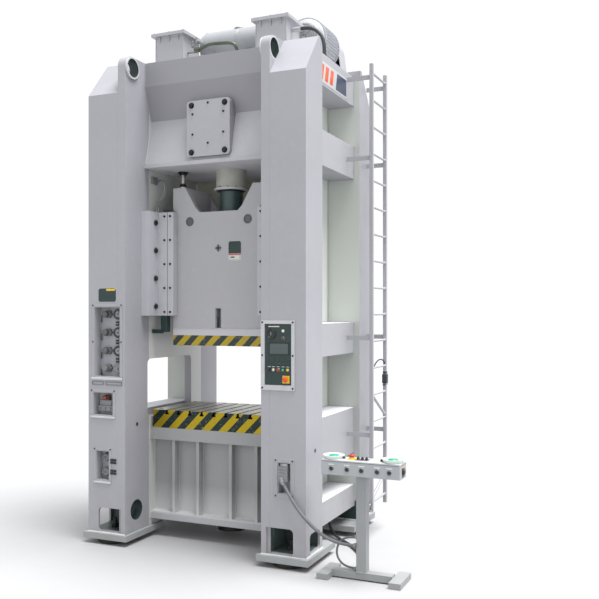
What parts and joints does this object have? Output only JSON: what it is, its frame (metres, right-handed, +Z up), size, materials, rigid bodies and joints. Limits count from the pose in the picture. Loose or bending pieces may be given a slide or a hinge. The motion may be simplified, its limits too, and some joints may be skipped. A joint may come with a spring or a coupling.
{
  "type": "mechanical stamping press",
  "caption": "Straight-side mechanical stamping press with a crank-driven slide, flywheel drive, die cushion, access ladder and two-hand operator console.",
  "frame": {"origin": "on the floor, at the centre of the rectangle of four anchor bolt holes under the feet", "axes": "+Z up, -Y towards the operator at the front, +X to the right seen from the front, towards the ladder and the console"},
  "size_m": [3.635, 2.406, 5.982],
  "materials": {
    "press_paint": "semi-gloss cool light grey machine enamel",
    "olive_paint": "satin grey-green enamel",
    "motor_paint": "satin grey enamel on cast iron",
    "bolster_steel": "ground steel, front face striped in hazard paint",
    "pad_rubber": "matte black rubber",
    "guide_bronze": "turned bronze, oil film",
    "dark_steel": "blackened steel",
    "bright_steel": "machined steel",
    "cast_wheel": "turned cast iron",
    "belt_rubber": "matte black rubber",
    "panel_plate": "satin grey frame round a dark green-black plate",
    "lamp_lens": "gloss coloured lens",
    "device_grey": "matte grey",
    "black_plastic": "matte black",
    "red_plastic": "gloss red",
    "green_plastic": "gloss green",
    "cup_plastic": "gloss pale mint",
    "conduit_grey": "ribbed grey sheath",
    "cable_black": "matte dark sheath"
  },
  "bodies": {
    "frame": {"air_panel_devices": "device_grey", "air_receiver": "olive_paint", "balancer_cylinders": "press_paint", "bed": "press_paint", "bolster": "bolster_steel", "button_cups": "cup_plastic", "cap_screws": "dark_steel", "conduit_socket": "device_grey", "console_box": "press_paint", "console_conduit": "conduit_grey", "console_stand": "press_paint", "control_panel": "panel_plate", "crown": "press_paint", "crown_cover": "press_paint", "cushion_cylinder": "dark_steel", "drive_belts": "belt_rubber", "drive_motor": "motor_paint", "floor_cable": "cable_black", "flywheel_guard": "press_paint", "foot_plates": "press_paint", "front_upright_left": "press_paint", "front_upright_right": "press_paint", "gib_front_left": "press_paint", "gib_front_right": "press_paint", "gibs_rear": "press_paint", "isolation_pads": "pad_rubber", "ladder": "press_paint", "ladder_brackets": "press_paint", "lifting_sleeves": "press_paint", "panel_lamps": "lamp_lens", "plunger_guide": "guide_bronze", "post_loop_cable": "conduit_grey", "rear_upright_left": "press_paint", "rear_upright_right": "press_paint", "recess_boxes": "press_paint", "roof_hose": "cable_black", "side_beams": "press_paint", "side_plate_left": "press_paint", "side_plate_right": "press_paint"},
    "slide": {"slide": "press_paint", "plunger": "dark_steel", "connecting_rod": "bright_steel", "balancer_rods": "bright_steel"},
    "knockout": {"knockout_bar": "dark_steel"},
    "crank": {"crankshaft": "bright_steel", "main_gear": "bright_steel"},
    "pinion": {"pinion_shaft": "bright_steel"},
    "flywheel": {"flywheel": "cast_wheel"},
    "motor_rotor": {"motor_pulley": "cast_wheel"},
    "cushion": {"cushion_piston": "dark_steel"},
    "palm_left": {"palm_button_left": "green_plastic"},
    "palm_right": {"palm_button_right": "green_plastic"},
    "console_stop": {"console_estop": "red_plastic"},
    "panel_stop": {"panel_estop": "red_plastic"},
    "panel_start": {"panel_start_button": "green_plastic"},
    "mode_switch": {"panel_mode_switch": "black_plastic"},
    "knob_1": {"regulator_knob_1": "black_plastic"},
    "knob_2": {"regulator_knob_2": "black_plastic"},
    "knob_3": {"regulator_knob_3": "black_plastic"},
    "knob_4": {"regulator_knob_4": "black_plastic"}
  },
  "joints": [
    {"name": "slide_stroke", "type": "slide", "parent": "frame", "child": "slide", "axis": [0, 0, 1], "range_m": [-0.25, 0]},
    {"name": "knockout_lift", "type": "slide", "parent": "slide", "child": "knockout", "axis": [0, 0, 1], "range_m": [0, 0.09]},
    {"name": "crank_turn", "type": "hinge", "parent": "frame", "child": "crank", "pos_m": [0, 0, 4.64], "axis": [0, 1, 0], "range_deg": [-181, 1]},
    {"name": "pinion_turn", "type": "hinge", "parent": "frame", "child": "pinion", "pos_m": [0.518, 0, 4.64], "axis": [0, 1, 0], "range_deg": [-5, 775]},
    {"name": "flywheel_spin", "type": "hinge", "parent": "frame", "child": "flywheel", "pos_m": [0.518, 1.135, 4.64], "axis": [0, 1, 0], "continuous": true},
    {"name": "motor_spin", "type": "hinge", "parent": "frame", "child": "motor_rotor", "pos_m": [0.668, 1.135, 5.72], "axis": [0, 1, 0], "continuous": true},
    {"name": "cushion_lift", "type": "slide", "parent": "frame", "child": "cushion", "axis": [0, 0, 1], "range_m": [0, 0.07]},
    {"name": "palm_left_press", "type": "slide", "parent": "frame", "child": "palm_left", "axis": [0, 0, 1], "range_m": [-0.008, 0], "stiffness_N_per_m": 2000},
    {"name": "palm_right_press", "type": "slide", "parent": "frame", "child": "palm_right", "axis": [0, 0, 1], "range_m": [-0.008, 0], "stiffness_N_per_m": 2000},
    {"name": "console_stop_press", "type": "slide", "parent": "frame", "child": "console_stop", "axis": [0, 0, 1], "range_m": [-0.006, 0]},
    {"name": "panel_stop_press", "type": "slide", "parent": "frame", "child": "panel_stop", "axis": [0, 1, 0], "range_m": [0, 0.006]},
    {"name": "panel_start_press", "type": "slide", "parent": "frame", "child": "panel_start", "axis": [0, 1, 0], "range_m": [0, 0.004], "stiffness_N_per_m": 800},
    {"name": "mode_switch_turn", "type": "hinge", "parent": "frame", "child": "mode_switch", "pos_m": [0.91, -1.004, 1.955], "axis": [0, 1, 0], "range_deg": [-45, 45]},
    {"name": "knob_1_turn", "type": "hinge", "parent": "frame", "child": "knob_1", "pos_m": [-1.107, -0.932, 2.501], "axis": [0, 1, 0], "range_deg": [-170, 170]},
    {"name": "knob_2_turn", "type": "hinge", "parent": "frame", "child": "knob_2", "pos_m": [-1.107, -0.932, 2.301], "axis": [0, 1, 0], "range_deg": [-170, 170]},
    {"name": "knob_3_turn", "type": "hinge", "parent": "frame", "child": "knob_3", "pos_m": [-1.107, -0.932, 2.1], "axis": [0, 1, 0], "range_deg": [-170, 170]},
    {"name": "knob_4_turn", "type": "hinge", "parent": "frame", "child": "knob_4", "pos_m": [-1.107, -0.932, 1.909], "axis": [0, 1, 0], "range_deg": [-170, 170]}
  ],
  "couplings": [
    {"joint": "crank_turn", "follows": "slide_stroke", "rad_per_m": 12.566},
    {"joint": "pinion_turn", "follows": "slide_stroke", "rad_per_m": -53.856},
    {"joint": "motor_spin", "follows": "flywheel_spin", "ratio": 3.6}
  ]
}
